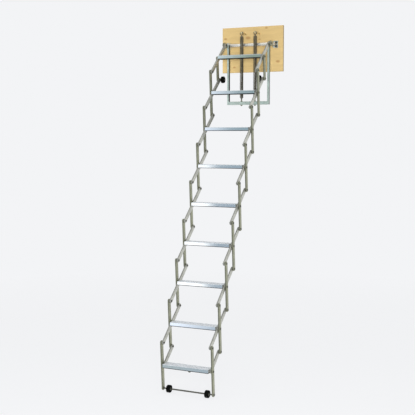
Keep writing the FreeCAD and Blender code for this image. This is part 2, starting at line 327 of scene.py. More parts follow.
def zinc(name, colour, painted_shades=NO_PAINTED_SHADE, dullness=DULL_ZINC):
    """Zinc plate: cloudy passivation, faint crystal flakes and rubbed edges, with painted shade and light by
    the way a face looks: forward or back, away from the ladder's middle or towards it."""
    shader = Shader(name)
    where = shader.place()
    clouds = shader.noise(where, 22.0, 4.0, 0.6)
    tone = shader.ramp(clouds, [(0.30, tinted(colour, 0.80)), (0.52, colour), (0.74, tinted(colour, 1.20))])
    flakes = shader.add("ShaderNodeTexVoronoi", {"Vector": where, "Scale": 260.0})
    tone = shader.times(tone, shader.span(flakes.outputs["Color"], 0.86, 1.10))
    # Painted shade and light: each face is darkened or lightened by whether it looks to the front, outwards
    # or inwards
    side = shader.math("SIGN", shader.split(where)["X"])
    outward = shader.math("MULTIPLY", shader.split(shader.coords("Normal"))["X"], side)
    front, outer, inner = painted_shades
    tone = shader.times(tone, shader.span(outward, front, outer, *OUTWARDS))
    tone = shader.times(tone, shader.span(outward, inner / front, 1.0, *INWARDS))
    rubbed = shader.add("ShaderNodeAttribute", attribute_name="edge").outputs["Fac"]
    scuff = shader.math("MULTIPLY", rubbed, shader.span(shader.noise(where, 140.0), 0.0, 0.7, 0.4, 0.7))
    shader.set(Base_Color=shader.mix(scuff, tone, tinted(colour, 1.3)), Metallic=0.75)
    shader.set(Roughness=shader.span(shader.noise(where, 60.0), *dullness))
    shader.bump(shader.noise(where, 900.0, 2.0), 0.12, 0.0004)
    return shader.material


def aluminium(name, colour):
    """Mill-finish extrusion: fine draw lines along the tread, soft grey clouding and a dull top, with painted
    shade along each tread's lower edge.
    """
    shader = Shader(name)
    lines = shader.noise(shader.place(scale=(3.0, 900.0, 900.0)), 1.0, 3.0, 0.65)
    clouds = shader.noise(shader.place(), 14.0, 3.0)
    tone = shader.ramp(lines, [(0.25, tinted(colour, 0.86)), (0.75, tinted(colour, 1.08))])
    tone = shader.mix(shader.span(clouds, 0.0, 0.35, 0.4, 0.8), tone, tinted(colour, 0.80))
    low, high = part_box("tread_1")
    above = shader.math("SUBTRACT", shader.split(shader.place())["Z"], low.z - SHAKE)
    height = shader.math("FLOORED_MODULO", above, abs(STEP.z))
    rib_foot = high.z - low.z + SHAKE - RIB_HEIGHT
    trodden = shader.span(height, 0.0, 1.0, rib_foot - SHAKE, rib_foot)
    tone = shader.mix(trodden, tone, tinted(colour, TRODDEN_SHADE))
    # Painted shade: the lowest few millimetres of each tread, underside included, are darkened
    low_edge_shade = shader.span(height, LOW_EDGE_PAINTED_SHADE, 1.0, LOW_EDGE_SHADE_HEIGHT * LOW_EDGE_SHADE_SOLID, LOW_EDGE_SHADE_HEIGHT)
    shader.set(Base_Color=shader.times(tone, low_edge_shade), Metallic=shader.span(trodden, 0.92, TRODDEN_METAL))
    dulling = shader.math("MULTIPLY", trodden, TRODDEN_DULLING)
    shader.set(Roughness=shader.math("ADD", shader.span(lines, 0.07, 0.12), dulling))
    shader.bump(lines, 0.02, 0.0002)
    return shader.material


def dark_steel(name, colour):
    """Oiled spring wire: brown-black with worn, lighter patches."""
    shader = Shader(name)
    where = shader.place()
    patches = shader.noise(where, 45.0, 4.0, 0.65)
    tone = shader.ramp(patches, [(0.3, tinted(colour, 0.6)), (0.55, colour), (0.8, tinted(colour, 2.0))])
    shader.set(Base_Color=tone, Metallic=0.55)
    shader.set(Roughness=shader.span(patches, 0.32, 0.52))
    return shader.material


def rubber(name, colour):
    """Moulded black rubber with a faint grain and dusty bloom."""
    shader = Shader(name)
    where = shader.place()
    bloom = shader.noise(where, 30.0, 4.0)
    tone = shader.ramp(bloom, [(0.35, colour), (0.75, tinted(colour, 2.0))])
    shader.set(Base_Color=tone, Specular_IOR_Level=0.02)
    shader.set(Roughness=shader.span(bloom, 0.65, 0.85))
    shader.bump(shader.noise(where, 1400.0, 2.0), 0.2, 0.0003)
    return shader.material


def knots(shader, where, low, high):
    """How far the board's knots pull the grain aside, and how brown they make the veneer."""
    flat = shader.vector(x=where["X"], z=where["Z"])
    pull = 0.0
    brown = 0.0
    for across, up, size in KNOTS:
        centre = (low.x + across * (high.x - low.x), 0.0, low.z + up * (high.z - low.z))
        away = shader.add("ShaderNodeVectorMath", {0: flat, 1: centre}, operation="SUBTRACT")
        squeezed = shader.add("ShaderNodeVectorMath", {0: away.outputs["Vector"], 1: KNOT_SQUEEZE},
                              operation="MULTIPLY")
        reach = shader.add("ShaderNodeVectorMath", {0: squeezed.outputs["Vector"]}, operation="LENGTH")
        near = reach.outputs["Value"]
        pull = shader.math("ADD", pull, shader.span(near, KNOT_PULL, 0.0, 0.0, KNOT_REACH * size))
        core = shader.span(near, 1.0, 0.0, KNOT_CORE * size, KNOT_RIM * size)
        brown = shader.math("MAXIMUM", brown, core)
    return pull, brown


def ply_edges(shader, depth, thickness, colour):
    """Pale and dark plies in turn, flecked where the saw cut them."""
    ply = shader.math("FRACT", shader.math("MULTIPLY", depth, PLIES / 2 / thickness))
    plies = shader.ramp(ply, [(0.0, tinted(colour, 0.92)), (0.48, tinted(colour, 0.84)),
                              (0.50, tinted(colour, 0.42)), (0.96, tinted(colour, 0.48)),
                              (1.0, tinted(colour, 0.92))])
    fleck = shader.noise(shader.place(scale=(90.0, 500.0, 90.0)), 1.0, 3.0)
    return shader.mix(shader.span(fleck, 0.0, 0.5, 0.45, 0.75), plies, tinted(colour, 0.50))


def plywood(name, colour):
    """Face veneer with long grain, pale streaks and a few knots, and ply layers on the edges."""
    shader = Shader(name)
    low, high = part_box("mounting_board")
    where = shader.split(shader.coords())
    pull, brown = knots(shader, where, low, high)
    waver = shader.noise(shader.place(scale=(2.5, 1.0, 9.0)), 1.6, 2.0)
    rings = shader.math("ADD", where["Z"], shader.math("MULTIPLY", waver, GRAIN_WAVER))
    rings = shader.math("ADD", rings, pull)
    grain = shader.vector(shader.math("MULTIPLY", where["X"], GRAIN_STRETCH), where["Y"], rings)
    broad = shader.noise(grain, 26.0, 4.0, 0.6)
    fine = shader.noise(grain, 420.0, 3.0, 0.7)
    face = shader.ramp(broad, [(0.36, tinted(colour, 0.93)), (0.50, colour), (0.64, tinted(colour, 1.05))])
    face = shader.mix(shader.span(fine, 0.0, 0.40, 0.46, 0.70), face, tinted(colour, 0.80))
    pores = shader.noise(shader.place(scale=(30.0, 200.0, 900.0)), 1.0, 2.0)
    face = shader.mix(shader.span(pores, 0.0, 0.30, 0.58, 0.75), face, tinted(colour, 0.60))
    face = shader.mix(shader.math("MULTIPLY", brown, KNOT_DEPTH), face, KNOT_BROWN)
    # Painted light: the face is lightened towards its low left corner, where the ladder's shade falls, and
    # darkened towards its top right one
    painted_light_run = shader.math("ADD", where["Z"], shader.math("MULTIPLY", where["X"], PAINTED_LIGHT_SLANT))
    face = shader.times(face, shader.span(painted_light_run, *PAINTED_LIGHT_TONES, low.z, high.z))
    plies = ply_edges(shader, where["Y"], high.y - low.y, colour)
    facing = shader.math("ABSOLUTE", shader.split(shader.coords("Normal"))["Y"])
    shader.set(Base_Color=shader.mix(shader.span(facing, 0.0, 1.0, *FACE_ON), plies, face))
    shader.set(Specular_IOR_Level=0.15, Roughness=shader.span(fine, 0.55, 0.75))
    shader.bump(fine, 0.15, 0.0004)
    return shader.material


def finishes():
    """The ladder's materials by finish, made once."""
    finish = bpy.context.scene.ladder_finish
    makers = {
        # Bars and frame take painted shade and light by the way their faces look
        "bar_zinc": (zinc, BAR_PAINTED_SHADES),
        # The inner bars' paler zinc is painted light
        "inner_zinc": (zinc, BAR_PAINTED_SHADES),
        "frame_zinc": (zinc, FRAME_PAINTED_SHADES),
        "bracket_zinc": (zinc, NO_PAINTED_SHADE, BRIGHT_ZINC),
        "axle_zinc": (zinc, NO_PAINTED_SHADE, BRIGHT_ZINC),
        "bolt_zinc": (zinc,),
        "peg_zinc": (zinc,),
        "aluminium": (aluminium,),
        "spring_steel": (dark_steel,),
        "rubber": (rubber,),
        "plywood": (plywood,),
    }
    made = {}
    for key, (make, *looks) in makers.items():
        name = "ladder_" + key
        colour = tuple(getattr(finish, key))
        made[key] = bpy.data.materials.get(name) or make(name, colour, *looks)
    return made


# Small builders for meshes and geometry trees

SMOOTH_BELOW = math.radians(38)


def add_piece(name, mesh, material, body, slot, nodes=()):
    """A finished mesh as a piece that may stand for CAD nodes. It rides on a body, unless a blend carries
    it."""
    mesh.materials.clear()
    mesh.materials.append(material)
    mesh.shade_smooth()
    mesh.set_sharp_from_angle(angle=SMOOTH_BELOW)
    piece = bpy.data.objects.new(name, mesh)
    bpy.context.scene.collection.objects.link(piece)
    if body:
        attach(piece, body)
    if nodes:
        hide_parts(*nodes)
    return piece


def add_shape(name, shape, *rest):
    """A finished bmesh as a piece, with its faces outwards."""
    bmesh.ops.recalc_face_normals(shape, faces=shape.faces)
    mesh = bpy.data.meshes.new(name)
    shape.to_mesh(mesh)
    shape.free()
    return add_piece(name, mesh, *rest)


def paint(node, material):
    """Gives a carried-over CAD node its finish."""
    piece = frame["nodes"][node]
    piece.data.materials.clear()
    piece.data.materials.append(material)


def bridge(shape, rings, closed_ends=True):
    """Faces between rings of vertices in order, with a cap on the first and last."""
    for first, second in zip(rings, rings[1:]):
        for i in range(len(first)):
            j = (i + 1) % len(first)
            shape.faces.new((first[i], first[j], second[j], second[i]))
    if closed_ends:
        shape.faces.new(rings[0])
        shape.faces.new(rings[-1])


def turn(shape, profile, centre, axis=0, bored=False, count=48):
    """A solid turned about an axis through centre from (along, radius) points. A bored one is closed round
    its bore in place of end caps."""
    rings = []
    for along, radius in profile:
        ring = []
        for i in range(count):
            angle = 2 * math.pi * i / count
            corner = centre.copy()
            corner[axis] += along
            corner[(axis + 1) % 3] += radius * math.cos(angle)
            corner[(axis + 2) % 3] += radius * math.sin(angle)
            ring.append(shape.verts.new(corner))
        rings.append(ring)
    if bored:
        bridge(shape, rings + rings[:1], closed_ends=False)
    else:
        bridge(shape, rings)


def hoop(shape, centre, axis, radius, wire, sides=12):
    """A closed ring of round wire about an axis."""
    profile = []
    for i in range(sides):
        angle = 2 * math.pi * i / sides
        profile.append((wire / 2 * math.cos(angle), radius + wire / 2 * math.sin(angle)))
    turn(shape, profile, centre, axis, bored=True)


ARC_POINTS = 10
EDGE_POINTS = 3


def bar(shape, first, last, x0, x1, width, edge):
    """A round-ended flat bar between two pivots with rounded edges, marked where they rub."""
    rub = shape.verts.layers.float.get("edge") or shape.verts.layers.float.new("edge")
    run = last - first
    heading = math.atan2(run.z, run.y)
    levels = []
    for i in range(EDGE_POINTS + 1):
        angle = math.pi / 2 * i / EDGE_POINTS
        levels.append((edge * (1 - math.cos(angle)), edge * (1 - math.sin(angle)), math.sin(2 * angle)))
    stack = [(x0 + rise, inset, wear) for rise, inset, wear in levels]
    stack += [(x1 - rise, inset, wear) for rise, inset, wear in levels[::-1]]
    rings = []
    for x, inset, wear in stack:
        ring = []
        radius = width / 2 - inset
        for centre, start in ((last, heading - math.pi / 2), (first, heading + math.pi / 2)):
            for i in range(ARC_POINTS + 1):
                angle = start + math.pi * i / ARC_POINTS
                vert = shape.verts.new((x, centre.y + radius * math.cos(angle),
                                        centre.z + radius * math.sin(angle)))
                vert[rub] = wear
                ring.append(vert)
        rings.append(ring)
    bridge(shape, rings)


UPRIGHT = (math.pi / 2, 0.0, 0.0)
UPSIDE_DOWN = (math.pi, 0.0, 0.0)


class GeometryTree(NodeTree):
    """A geometry node tree under construction, with named inputs for its sizes."""

    def __init__(self, name, sizes, from_points=True):
        super().__init__(bpy.data.node_groups.new(name, "GeometryNodeTree"))
        sockets = self.tree.interface
        if from_points:
            sockets.new_socket("Geometry", in_out="INPUT", socket_type="NodeSocketGeometry")
        self.ids = {}
        for size in sizes:
            socket = sockets.new_socket(size, in_out="INPUT", socket_type="NodeSocketFloat")
            self.ids[size] = socket.identifier
        sockets.new_socket("Geometry", in_out="OUTPUT", socket_type="NodeSocketGeometry")
        self.given = self.tree.nodes.new("NodeGroupInput").outputs
        self.sizes = [self.given[size] for size in sizes]

    def share(self, size, factor):
        return self.math("MULTIPLY", size, factor)

    def moved(self, shape, z=0.0, turn=(0.0, 0.0, 0.0)):
        node = self.add("GeometryNodeTransform", {"Geometry": shape, "Translation": self.vector(z=z),
                                                  "Rotation": turn})
        return node.outputs["Geometry"]

    def cylinder(self, radius, height, corners, lift):
        """A cylinder or prism that stands lift above its point."""
        node = self.add("GeometryNodeMeshCylinder", {"Vertices": corners, "Radius": radius, "Depth": height})
        return self.moved(node.outputs["Mesh"], z=self.math("ADD", self.share(height, 0.5), lift))

    def cone(self, low, high, height, corners, lift):
        node = self.add("GeometryNodeMeshCone", {"Vertices": corners, "Radius Bottom": low,
                                                 "Radius Top": high, "Depth": height})
        return self.moved(node.outputs["Mesh"], z=lift)

    def join(self, shapes):
        node = self.add("GeometryNodeJoinGeometry")
        for shape in shapes:
            self.tree.links.new(shape, node.inputs["Geometry"])
        return node.outputs["Geometry"]

    def on_points(self, shape, sunk=False, stretched=False):
        """Copies of a shape on every point, with Z along the point's "out" vector. A sunk copy goes down by
        the point's "grip", and a stretched one is made that long."""
        out = self.add("GeometryNodeInputNamedAttribute", {"Name": "out"}, data_type="FLOAT_VECTOR")
        grip = self.add("GeometryNodeInputNamedAttribute", {"Name": "grip"}, data_type="FLOAT")
        out_way = out.outputs["Attribute"]
        depth = grip.outputs["Attribute"]
        points = self.given["Geometry"]
        if sunk:
            shift = self.add("ShaderNodeVectorMath", {0: out_way, "Scale": self.share(depth, -1.0)},
                             operation="SCALE")
            lowered = self.add("GeometryNodeSetPosition", {"Geometry": points,
                                                           "Offset": shift.outputs["Vector"]})
            points = lowered.outputs["Geometry"]
        aim = self.add("FunctionNodeAlignRotationToVector", {"Vector": out_way}, axis="Z")
        node = self.add("GeometryNodeInstanceOnPoints", {"Points": points, "Instance": shape,
                                                         "Rotation": aim.outputs["Rotation"]})
        if stretched:
            self.put(node.inputs["Scale"], self.vector(1.0, 1.0, depth))
        return node.outputs["Instances"]

    def finish(self, shape, material):
        real = self.add("GeometryNodeRealizeInstances", {"Geometry": shape}).outputs["Geometry"]
        painted = self.add("GeometryNodeSetMaterial", {"Geometry": real, "Material": material})
        end = self.tree.nodes.new("NodeGroupOutput")
        self.put(end.inputs["Geometry"], painted.outputs["Geometry"])

    def grow(self, name, values, points=()):
        """A plain mesh grown from (place, out, grip) points with the given sizes."""
        seed = bpy.data.meshes.new(name)
        seed.from_pydata([place for place, out, grip in points], [], [])
        if points:
            ways = seed.attributes.new("out", "FLOAT_VECTOR", "POINT")
            ways.data.foreach_set("vector", [part for place, out, grip in points for part in out])
            grips = seed.attributes.new("grip", "FLOAT", "POINT")
            grips.data.foreach_set("value", [grip for place, out, grip in points])
        holder = bpy.data.objects.new(name + "_seed", seed)
        bpy.context.scene.collection.objects.link(holder)
        modifier = holder.modifiers.new("grow", "NODES")
        modifier.node_group = self.tree
        for size, value in values.items():
            modifier[self.ids[size]] = value
        shown = holder.evaluated_get(bpy.context.evaluated_depsgraph_get())
        mesh = bpy.data.meshes.new_from_object(shown)
        mesh.name = name
        holder.modifiers.remove(modifier)
        bpy.data.objects.remove(holder)
        bpy.data.meshes.remove(seed)
        return mesh


class LADDER_OT_bars(bpy.types.Operator):
    """Builds the flat bars of the lazy-tongs linkage, with rounded ends and rubbed edges"""
    bl_idname = "ladder.bars"
    bl_label = "Linkage Bars"

    def execute(self, context):
        sizes = context.scene.ladder_sizes
        metals = finishes()
        inner_layer = (INNER_BAR_OUT - sizes.bar_thickness, INNER_BAR_OUT)
        outer_layer = (INNER_BAR_OUT + sizes.bar_gap, INNER_BAR_OUT + sizes.bar_gap + sizes.bar_thickness)
        for k in range(1, TREADS + 1):
            inner_run = (rear_pivot(k - 1), front_pivot(k) if k < TREADS else tread_pivot(k))
            outer_run = (front_pivot(k - 1) if k > 1 else tread_pivot(k), rear_pivot(k))
            self.pair(sizes, metals["inner_zinc"], f"inner_bars_{k}", inner_run, inner_layer)
            self.pair(sizes, metals["bar_zinc"], f"outer_bars_{k}", outer_run, outer_layer)
        return {"FINISHED"}

    def pair(self, sizes, metal, name, run, layer):
        """The left and right bars of one layer, as one piece."""
        shape = bmesh.new()
        for x0, x1 in (layer, (-layer[1], -layer[0])):
            bar(shape, *run, x0, x1, sizes.bar_width, sizes.bar_edge)
        add_shape("flat_" + name, shape, metal, name, "bar_zinc", [name])


# Bolts: shares of a head's height, then shares of its corner radius, and a spacer as a share of its pin
HEAD_WALL = 0.75
HEAD_BEVEL = 0.25
STUB_LIFT = 0.35
BEVEL_FOOT = 0.86
BEVEL_TOP = 0.70
BAR_WASHER = 1.12
SPACER = 1.75


def pivot_bolt_tree(material):
    """A bolt with a bevelled six-sided head, a washer between the bars and a nut on its far end."""
    tree = GeometryTree("pivot_bolts", ["Head Radius", "Head Height", "Pin Radius", "Bar Thickness",
                                        "Bar Gap"])
    radius, height, pin, thickness, gap = tree.sizes
    wall = tree.share(height, HEAD_WALL)
    bevel = tree.cone(tree.share(radius, BEVEL_FOOT), tree.share(radius, BEVEL_TOP),
                      tree.share(height, HEAD_BEVEL), 24, wall)
    head = tree.join([tree.cylinder(radius, wall, 6, 0.0), bevel])
    stub = tree.cylinder(pin, height, 16, tree.share(height, STUB_LIFT))
    nut = tree.moved(tree.join([head, stub]), turn=UPSIDE_DOWN)
    shank = tree.cylinder(pin, 1.0, 16, -1.0)
    below = tree.share(tree.math("ADD", thickness, gap), -1.0)
    washer = tree.cylinder(tree.share(radius, BAR_WASHER), gap, 24, below)
    copies = [tree.on_points(tree.join([head, washer])), tree.on_points(nut, sunk=True),
              tree.on_points(shank, stretched=True)]
    tree.finish(tree.join(copies), material)
    return tree


class LADDER_OT_bolts(bpy.types.Operator):
    """Sets a bolt with washer and nut at every pivot of the linkage"""
    bl_idname = "ladder.bolts"
    bl_label = "Pivot Bolts"

    def execute(self, context):
        sizes = context.scene.ladder_sizes
        metal = finishes()["bolt_zinc"]
        tree = pivot_bolt_tree(metal)
        values = {"Head Radius": sizes.head_radius, "Head Height": sizes.head_height,
                  "Pin Radius": sizes.pin_radius, "Bar Thickness": sizes.bar_thickness,
                  "Bar Gap": sizes.bar_gap}
        seat = INNER_BAR_OUT + sizes.bar_gap + sizes.bar_thickness
        bar_grip = seat - TREAD_END
        tread_grip = bar_grip + NUT_INSET
        roller_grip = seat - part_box("top_roller_right")[0].x + SHAKE
        for k in range(1, TREADS + 1):
            pivots = [(tread_pivot(k), tread_grip)]
            if k > 1:
                pivots.append((front_pivot(k - 1), bar_grip))
            if k < TREADS:
                pivots.append((rear_pivot(k), roller_grip if k == 1 else bar_grip))
            mesh = tree.grow(f"pivot_bolts_{k}", values, self.points(pivots, seat))
            add_piece(f"pivot_bolts_{k}", mesh, metal, f"outer_bars_{k}", "bar_zinc")
        mesh = tree.grow("hanging_bolts", values, self.points([(HANG, bar_grip)], seat))
        add_piece("hanging_bolts", mesh, metal, "swing_frame", "frame_zinc")
        self.spacers(sizes, metal)
        return {"FINISHED"}

    def spacers(self, sizes, metal):
        """Tubes that hold the top rollers away from the bars."""
        roller_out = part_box("top_roller_right")[1].x + SHAKE
        radius = sizes.pin_radius * SPACER
        shape = bmesh.new()
        for x0, x1 in ((roller_out, TREAD_END), (-TREAD_END, -roller_out)):
            turn(shape, [(x0, radius), (x1, radius)], rear_pivot(1), count=28)
        add_shape("roller_spacers", shape, metal, "outer_bars_1", "bar_zinc")

    def points(self, pivots, seat):
        """Seats of the bolt heads on both sides of the ladder."""
        found = []
        for place, grip in pivots:
            for side in (-1, 1):
                found.append(((side * seat, place.y, place.z), (side, 0, 0), grip))
        return found


# Points of a coil's turn and of a loop, sides of their wires, turns of a coil's end, steps of a neck
COIL_POINTS = 14
LOOP_POINTS = 28
COIL_SIDES = 8
HOOK_SIDES = 10
END_TURNS = 1.5
NECK_STEPS = 10


def spring_tree(material):
    """A close-wound coil with both ends wound in to the middle, and a neck and a loop at its low end."""
    tree = GeometryTree("balance_spring", ["Coil Radius", "Wire", "Length", "Turns", "Hook Wire", "Low Loop"],
                        from_points=False)
    radius, wire, length, turns, hook, low_loop = tree.sizes

    def wound(rounds, end_radius, height):
        return tree.add("GeometryNodeCurveSpiral", {
            "Resolution": COIL_POINTS, "Rotations": rounds, "Start Radius": radius,
            "End Radius": end_radius, "Height": height}).outputs["Curve"]

    def circle(points, size):
        node = tree.add("GeometryNodeCurvePrimitiveCircle", {"Resolution": points, "Radius": size})
        return node.outputs["Curve"]

    def drawn(curves, thickness, sides):
        return tree.add("GeometryNodeCurveToMesh", {
            "Curve": tree.join(curves), "Profile Curve": circle(sides, tree.share(thickness, 0.5)),
            "Fill Caps": True}).outputs["Mesh"]

    end_turn = wound(END_TURNS, hook, wire)
    coil = drawn([wound(turns, radius, length), tree.moved(end_turn, z=length),
                  tree.moved(end_turn, turn=UPSIDE_DOWN)], wire, COIL_SIDES)
    middle = tree.share(tree.math("ADD", low_loop, tree.share(hook, 0.5)), -1.0)
    loop = tree.moved(circle(LOOP_POINTS, low_loop), z=middle, turn=UPRIGHT)
    neck = tree.add("GeometryNodeCurvePrimitiveLine", {
        "Start": tree.vector(z=tree.math("ADD", middle, low_loop)), "End": tree.vector(z=wire)})
    low_hook = drawn([loop, neck.outputs["Curve"]], hook, HOOK_SIDES)
    tree.finish(tree.join([coil, low_hook]), material)
    return tree


class LADDER_OT_springs(bpy.types.Operator):
    """Winds the two balance springs between the board's pegs and the eye bolts of the swing frame"""
    bl_idname = "ladder.springs"
    bl_label = "Balance Springs"

    def execute(self, context):
        sizes = context.scene.ladder_sizes
        steel = finishes()["spring_steel"]
        tree = spring_tree(steel)
        for side in SIDES:
            low, high = SPRING_BOX[side]
            middle = (low + high) / 2
            coil_low = low.z + 2 * sizes.low_loop + sizes.hook_wire
            coil_top = high.z - sizes.top_loop - sizes.loop_wire / 2 - sizes.hook_drop
            mesh = tree.grow("spring_" + side, {
                "Coil Radius": sizes.coil_radius - sizes.spring_wire / 2, "Wire": sizes.spring_wire,
                "Length": coil_top - coil_low, "Turns": (coil_top - coil_low) / sizes.spring_pitch,
                "Hook Wire": sizes.hook_wire, "Low Loop": sizes.low_loop})
            mesh.transform(Matrix.Translation((middle.x, middle.y, coil_low)))
            node = "spring_" + side
            piece = add_piece("coil_" + node, mesh, steel, node, "spring_steel", [node])
            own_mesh(piece)
            self.top_loop(sizes, node, Vector((middle.x, middle.y, coil_top)))
        return {"FINISHED"}

    def top_loop(self, sizes, node, coil_end):
        """The loop that stays on the peg, with a neck that bends down into the coil's end."""
        centre = coil_end + Vector((0.0, 0.0, sizes.hook_drop))
        shape = bmesh.new()
        hoop(shape, centre, 1, sizes.top_loop, sizes.loop_wire)
        rise = sizes.hook_drop - sizes.top_loop + sizes.spring_wire
        levels = [rise * i / NECK_STEPS - sizes.spring_wire for i in range(NECK_STEPS + 1)]
        turn(shape, [(level, sizes.loop_wire / 2) for level in levels], coil_end, axis=2, count=20)
        piece = add_shape("loop_" + node, shape, finishes()["bolt_zinc"], None, "spring_steel")
        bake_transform(piece)

    def length_share(self, peg, eye):
        """Share of a spring's length that is left when the frame is swung right out."""
        swing = JOINTS["frame_swing"]
        spread = Matrix.Rotation(math.radians(swing["range_deg"][1]), 3, Vector(swing["axis"]))
        swung = AXLE + spread @ (eye - AXLE)
        flat_peg = Vector((0.0, peg.y, peg.z))
        return (swung - flat_peg).yz.length / (eye - flat_peg).yz.length


class LADDER_OT_treads(bpy.types.Operator):
    """Finishes the ribbed treads in mill aluminium and hangs the pull eye under the bottom one"""
    bl_idname = "ladder.treads"
    bl_label = "Treads"

    def execute(self, context):
        metals = finishes()
        for k in range(1, TREADS + 1):
            paint(f"tread_{k}", metals["aluminium"])
        low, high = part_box("pull_eye")
        middle = (low + high) / 2
        wire = high.y - low.y
        radius = (high.x - low.x - wire) / 2
        shape = bmesh.new()
        hoop(shape, Vector((middle.x, middle.y, low.z + radius + wire / 2)), 1, radius, wire)
        stem_low = low.z + 2 * radius
        turn(shape, [(0.0, wire / 2), (high.z - stem_low, wire / 2)],
             Vector((middle.x, middle.y, stem_low)), axis=2, count=20)
        add_shape("pull_ring", shape, metals["bar_zinc"], f"tread_{TREADS}", "bar_zinc", ["pull_eye"])
        return {"FINISHED"}


# Weld beads: size, spacing and flatness, how far a seam stops from a corner, and its lift on the axle
BEAD_RADIUS = 1.7 * MM
BEAD_STEP = 1.5 * MM
BEAD_SCALE = (1.0, 1.0, 0.55)
SEAM_STOP = 3.0 * MM
AXLE_SEAM = 5.0 * MM

# Bevelled ends, as shares of an axle's radius, a nut's height and radius, a shank's radius and a plate
AXLE_BEVEL = 0.15
NUT_BEVEL = 0.15
NUT_FACE = 0.9
SHANK_TIP = 0.85
SHANK_BEVEL = 0.2
PLATE_BEVEL = 0.2


def weld_tree(material):
    """Small flattened domes that run into each other as a weld bead."""
    tree = GeometryTree("weld_beads", ["Bead Radius"])
    dome = tree.add("GeometryNodeMeshUVSphere", {"Segments": 10, "Rings": 6, "Radius": tree.sizes[0]})
    flat = tree.add("GeometryNodeTransform", {"Geometry": dome.outputs["Mesh"], "Scale": BEAD_SCALE})
    tree.finish(tree.on_points(flat.outputs["Geometry"]), material)
    return tree


def bead_line(start, end, out):
    """Bead places along a seam, each facing out."""
    start = Vector(start)
    end = Vector(end)
    count = max(2, round((end - start).length / BEAD_STEP) + 1)
    return [(tuple(start.lerp(end, i / (count - 1))), out, 0.0) for i in range(count)]


class LADDER_OT_swing_frame(bpy.types.Operator):
    """Finishes the sprung swing frame: axle, arms, square-tube legs, bottom bar, eye bolts and welds"""
    bl_idname = "ladder.swing_frame"
    bl_label = "Swing Frame"

    def execute(self, context):
        sizes = context.scene.ladder_sizes
        metals = finishes()
        for node in ("frame_legs", "frame_bottom_bar"):
            paint(node, metals["frame_zinc"])
        self.axle(metals["axle_zinc"])
        self.arms(sizes, metals["bar_zinc"])
        self.eye_bolts(sizes, metals["bar_zinc"])
        mesh = weld_tree(metals["frame_zinc"]).grow("frame_welds", {"Bead Radius": BEAD_RADIUS}, self.seams())
        add_piece("frame_welds", mesh, metals["frame_zinc"], "swing_frame", "frame_zinc")
        return {"FINISHED"}

    def axle(self, metal):
        low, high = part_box("swing_axle")
        radius = (high.z - low.z) / 2
        edge = radius * AXLE_BEVEL
        shape = bmesh.new()
        turn(shape, [(low.x, radius - edge), (low.x + edge, radius), (high.x - edge, radius),
                     (high.x, radius - edge)], Vector((0.0, AXLE.y, AXLE.z)))
        add_shape("axle_bar", shape, metal, "swing_frame", "frame_zinc", ["swing_axle"])

    def arms(self, sizes, metal):
        inner = INNER_BAR_OUT + sizes.bar_gap
        shape = bmesh.new()
        for x0, x1 in ((inner, inner + sizes.bar_thickness), (-inner - sizes.bar_thickness, -inner)):
            bar(shape, AXLE, HANG, x0, x1, sizes.arm_width, sizes.bar_edge)
        add_shape("arm_plates", shape, metal, "swing_frame", "frame_zinc", ["frame_arms"])

    def eye_bolts(self, sizes, metal):
        """Eye bolts of round wire through the bottom bar, with a nut above and below it."""
        low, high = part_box("spring_anchors")
        bar_low, bar_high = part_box("frame_bottom_bar")
        wire = 2 * EYE_WIRE_RADIUS
        eye_centre = high.z - EYE_RADIUS - wire / 2
        shank = sizes.pin_radius
        face = NUT_RADIUS * NUT_FACE
        bevel = NUT_HEIGHT * NUT_BEVEL
        shape = bmesh.new()
        for side in SIDES:
            middle = (SPRING_BOX[side][0] + SPRING_BOX[side][1]) / 2
            foot = Vector((middle.x, middle.y, 0.0))
            hoop(shape, foot + Vector((0.0, 0.0, eye_centre)), 0, EYE_RADIUS, wire)
            turn(shape, [(low.z, shank * SHANK_TIP), (low.z + shank * SHANK_BEVEL, shank),
                         (eye_centre - EYE_RADIUS, shank)], foot, axis=2, count=20)
            for start, end in ((bar_high.z, bar_high.z + NUT_HEIGHT), (bar_low.z - NUT_HEIGHT, bar_low.z)):
                turn(shape, [(start, face), (start + bevel, NUT_RADIUS), (end - bevel, NUT_RADIUS),
                             (end, face)], foot, axis=2, count=6)
        add_shape("eye_bolts", shape, metal, "swing_frame", "bar_zinc", ["spring_anchors"])

    def seams(self):
        """Welds where the legs meet the bottom bar and the axle."""
        low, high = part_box("frame_legs")
        bar_low, bar_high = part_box("frame_bottom_bar")
        near = low.y + SEAM_STOP
        far = high.y - SEAM_STOP
        beads = []
        for side in (-1, 1):
            x = side * bar_high.x
            for y, way in ((low.y, -1), (high.y, 1)):
                beads += bead_line((x, y, bar_low.z + SEAM_STOP), (x, y, bar_high.z - SEAM_STOP), (0, way, 0))
            beads += bead_line((x, near, bar_high.z), (x, far, bar_high.z), (-side, 0, 1))
            for lift in (-1, 1):
                z = AXLE.z + lift * AXLE_SEAM
                beads += bead_line((side * (high.x - SEAM_STOP), high.y, z),
                                   (x + side * SEAM_STOP, high.y, z), (0, 1, lift))
        return beads


# Bracket bolts: shares of a head's height and radius, their heights on the flange and their head's size
BRACKET_RIM = 0.25
BRACKET_WALL = 0.65
PLAIN_WASHER = 1.35
BRACKET_HEIGHTS = (0.24, 0.76)
BRACKET_HEAD = 0.9


def bracket_bolt_tree(material):
    """A six-sided bolt head on a plain washer."""
    tree = GeometryTree("bracket_bolts", ["Head Radius", "Head Height"])
    radius, height = tree.sizes
    rim = tree.share(height, BRACKET_RIM)
    wall = tree.share(height, BRACKET_WALL)
    washer = tree.cylinder(tree.share(radius, PLAIN_WASHER), rim, 28, 0.0)
    head = tree.cylinder(radius, wall, 6, rim)
    crown = tree.cone(tree.share(radius, BEVEL_FOOT), tree.share(radius, BEVEL_TOP), rim, 24,
                      tree.math("ADD", rim, wall))
    tree.finish(tree.on_points(tree.join([washer, head, crown])), material)
    return tree


